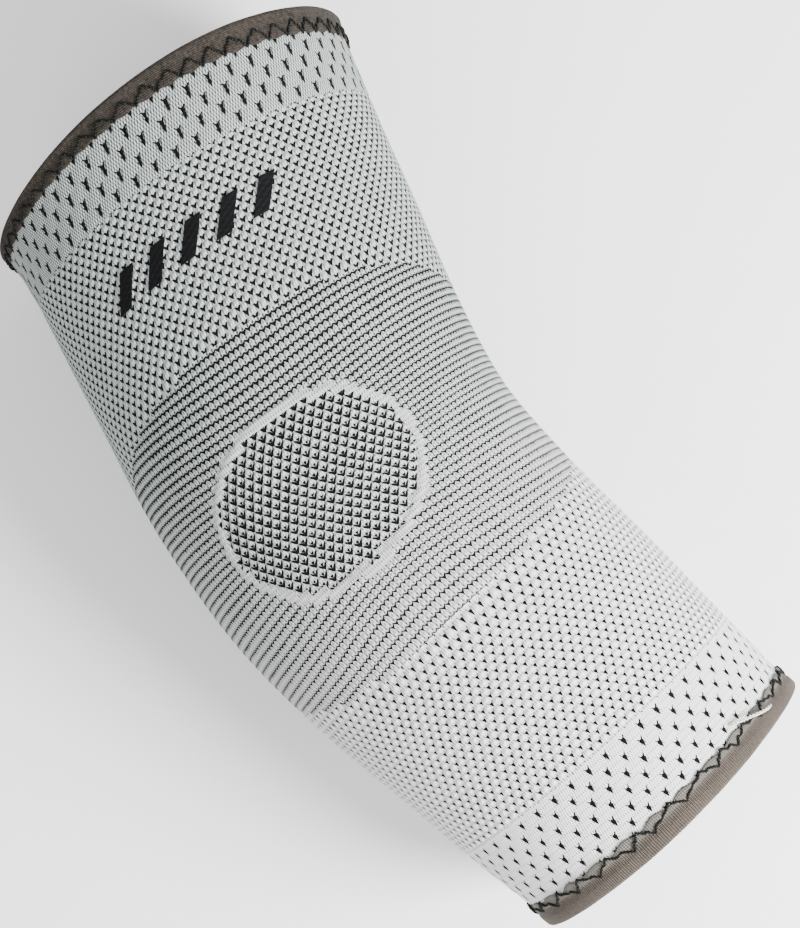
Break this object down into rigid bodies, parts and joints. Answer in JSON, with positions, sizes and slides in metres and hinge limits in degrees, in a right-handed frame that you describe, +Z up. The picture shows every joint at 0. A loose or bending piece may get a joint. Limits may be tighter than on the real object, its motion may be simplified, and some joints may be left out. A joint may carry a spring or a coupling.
{
  "type": "knitted elbow sleeve pad",
  "caption": "Tubular knitted elbow sleeve with an oval joint pad pocket, dotted and ribbed knit zones, and folded binding tape zigzag-stitched to both rims.",
  "frame": {"origin": "under the middle of the sleeve's box, on the surface it lies on", "axes": "+X from the upper arm rim to the forearm rim, +Y towards the crook of the elbow, +Z up out of the padded broad side"},
  "size_m": [0.2358, 0.1224, 0.0902],
  "materials": {
    "knit": "pale grey nylon knit with black marks",
    "ribbed_knit": "pale grey ribbed knit with fine black courses",
    "dark_knit": "pale knit thickly marked in black",
    "plain_knit": "plain pale grey knit",
    "tape": "taupe ribbed elastic tape, satin",
    "thread": "black textured sewing thread",
    "elastic": "pale covered elastic yarn",
    "pad": "soft pale pad",
    "ink": "matt black flexible print"
  },
  "bodies": {
    "upper_arm": {"upper_cuff_knit": "knit", "upper_arm_knit": "knit", "elbow_knit_upper": "ribbed_knit", "upper_cuff_elastic": "elastic", "upper_arm_elastic": "elastic", "elbow_elastic_upper": "elastic", "upper_binding_tape": "tape", "upper_zigzag_needle_thread": "thread", "upper_zigzag_bobbin_thread": "thread", "upper_tape_join_bartack": "thread", "elbow_patch_knit": "dark_knit", "elbow_patch_border": "plain_knit", "elbow_pad_insert": "pad", "elbow_pad_pocket": "plain_knit", "print_bar_1": "ink", "print_bar_2": "ink", "print_bar_3": "ink", "print_bar_4": "ink", "print_bar_5": "ink"},
    "forearm": {"elbow_knit_lower": "ribbed_knit", "elbow_elastic_lower": "elastic", "forearm_knit": "knit", "forearm_elastic": "elastic"},
    "forearm_cuff": {"forearm_cuff_knit": "knit", "forearm_cuff_elastic": "elastic", "forearm_binding_tape": "tape", "forearm_zigzag_needle_thread": "thread", "forearm_zigzag_bobbin_thread": "thread", "forearm_tape_join_bartack": "thread", "yarn_tail": "plain_knit"}
  },
  "joints": [
    {"name": "elbow_flexion", "type": "hinge", "parent": "upper_arm", "child": "forearm", "pos_m": [-0.0057, -0.0112, 0.0412], "axis": [0, 0, 1], "range_deg": [-22.5, 60], "stiffness_Nm_per_rad": 0.03, "deforming": ["elbow_knit_upper", "elbow_knit_lower", "elbow_elastic_upper", "elbow_elastic_lower", "elbow_patch_knit", "elbow_patch_border", "elbow_pad_insert", "elbow_pad_pocket"]},
    {"name": "forearm_twist", "type": "hinge", "parent": "forearm", "child": "forearm_cuff", "pos_m": [0.086, 0.003, 0.0381], "axis": [0.9808, 0.1951, 0], "range_deg": [-15, 15], "stiffness_Nm_per_rad": 0.03, "deforming": ["forearm_knit", "forearm_elastic"]}
  ]
}
